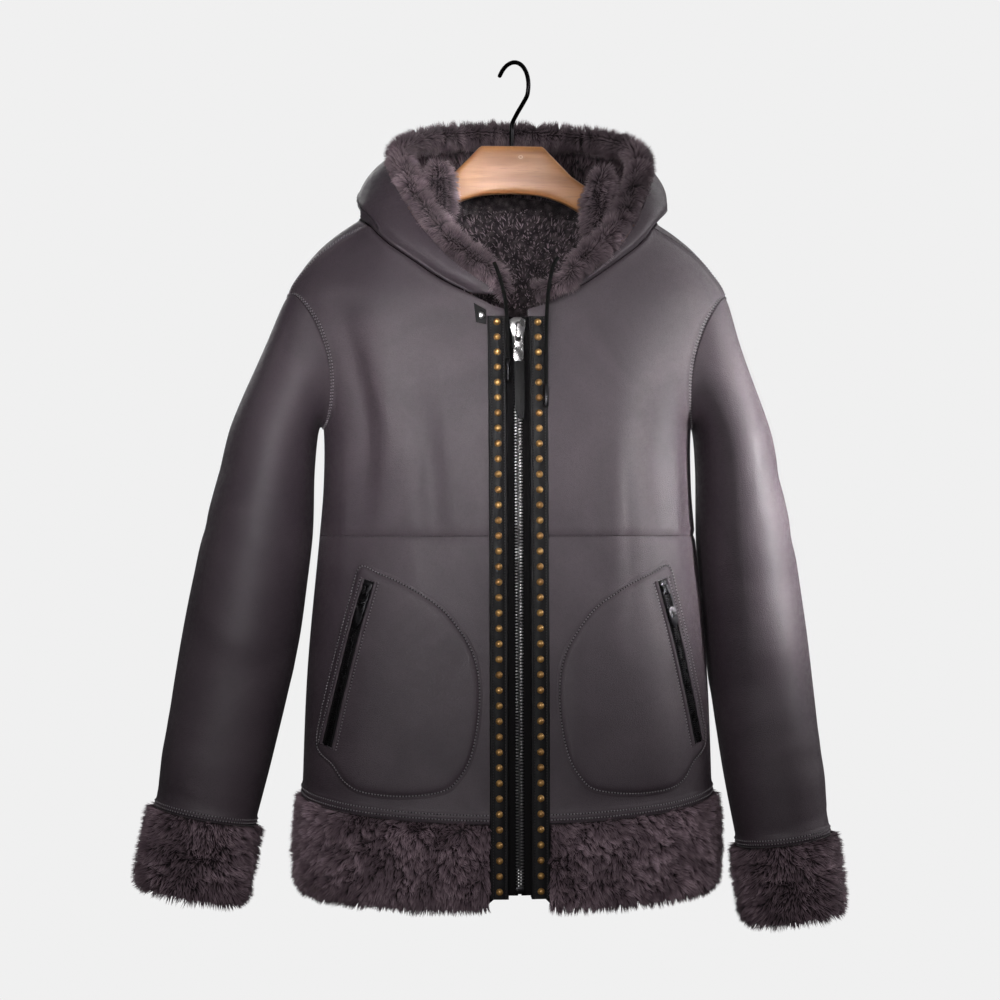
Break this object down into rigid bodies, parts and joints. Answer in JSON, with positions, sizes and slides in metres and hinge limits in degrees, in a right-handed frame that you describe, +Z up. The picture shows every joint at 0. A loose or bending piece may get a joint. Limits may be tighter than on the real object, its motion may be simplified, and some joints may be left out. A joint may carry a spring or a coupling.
{
  "type": "hooded shearling jacket on a wooden hanger",
  "caption": "Hooded shearling jacket with fur hood edge, cuffs and hem, studded zip placket, zipped pockets and drawcords, hanging on a wooden hanger with a wire hook.",
  "frame": {"origin": "where the inside top of the hanger's wire hook rests on the rail that holds it", "axes": "+Z up, the jacket's front faces -Y, the wearer's left is +X"},
  "size_m": [0.7165, 0.284, 0.866],
  "materials": {
    "leather": "matte grey-mauve shearling leather",
    "fur": "dense dark mauve-brown wool pile with paler tips",
    "black_leather": "smooth black leather with a soft sheen",
    "zip_tape": "black woven zip tape",
    "zip_metal": "polished silver-grey zip metal",
    "black_metal": "dark glossy metal",
    "cord": "black braided cord",
    "wood": "satin varnished pale wood",
    "wire": "dark polished wire"
  },
  "bodies": {
    "jacket": {"aglet_L": "black_metal", "aglet_R": "black_metal", "back": "leather", "cuff_L": "fur", "cuff_R": "fur", "drawcord_L": "cord", "drawcord_R": "cord", "front_lower_L": "leather", "front_lower_R": "leather", "front_upper_L": "leather", "front_upper_R": "leather", "hanger_bar": "wood", "hanger_hook": "wire", "hem_back": "fur", "hem_front_L": "fur", "hem_front_R": "fur", "hood_centre": "leather", "hood_fur_L": "fur", "hood_fur_R": "fur", "hood_fur_centre": "fur", "hood_side_L": "leather", "hood_side_R": "leather", "placket_L": "black_leather", "placket_R": "black_leather", "pocket_L": "leather", "pocket_R": "leather", "pocket_slider_L": "black_metal", "pocket_slider_R": "black_metal", "pocket_tape_L": "zip_tape", "pocket_tape_R": "zip_tape", "sleeve_L": "leather", "sleeve_R": "leather", "snap": "zip_metal", "throat_tab": "black_leather", "zip_box": "black_metal", "zip_chain": "zip_metal", "zip_slider": "zip_metal", "zip_tape_L": "zip_tape", "zip_tape_R": "zip_tape"},
    "zip_pull": {"zip_pull": "zip_metal", "zip_pull_strap": "black_leather"},
    "pocket_pull_L": {"pocket_pull_L": "black_metal"},
    "pocket_pull_R": {"pocket_pull_R": "black_metal"}
  },
  "joints": [
    {"name": "zip_pull_swing", "type": "hinge", "parent": "jacket", "child": "zip_pull", "pos_m": [-0.0035, -0.09059, -0.27717], "axis": [-1, 0, 0], "range_deg": [0, 120]},
    {"name": "pocket_pull_L_swing", "type": "hinge", "parent": "jacket", "child": "pocket_pull_L", "pos_m": [0.14393, -0.07725, -0.52452], "axis": [-0.8368, -0.4734, -0.2749], "range_deg": [0, 140]},
    {"name": "pocket_pull_R_swing", "type": "hinge", "parent": "jacket", "child": "pocket_pull_R", "pos_m": [-0.15101, -0.07739, -0.52451], "axis": [-0.8368, 0.4734, 0.2751], "range_deg": [0, 140]}
  ]
}
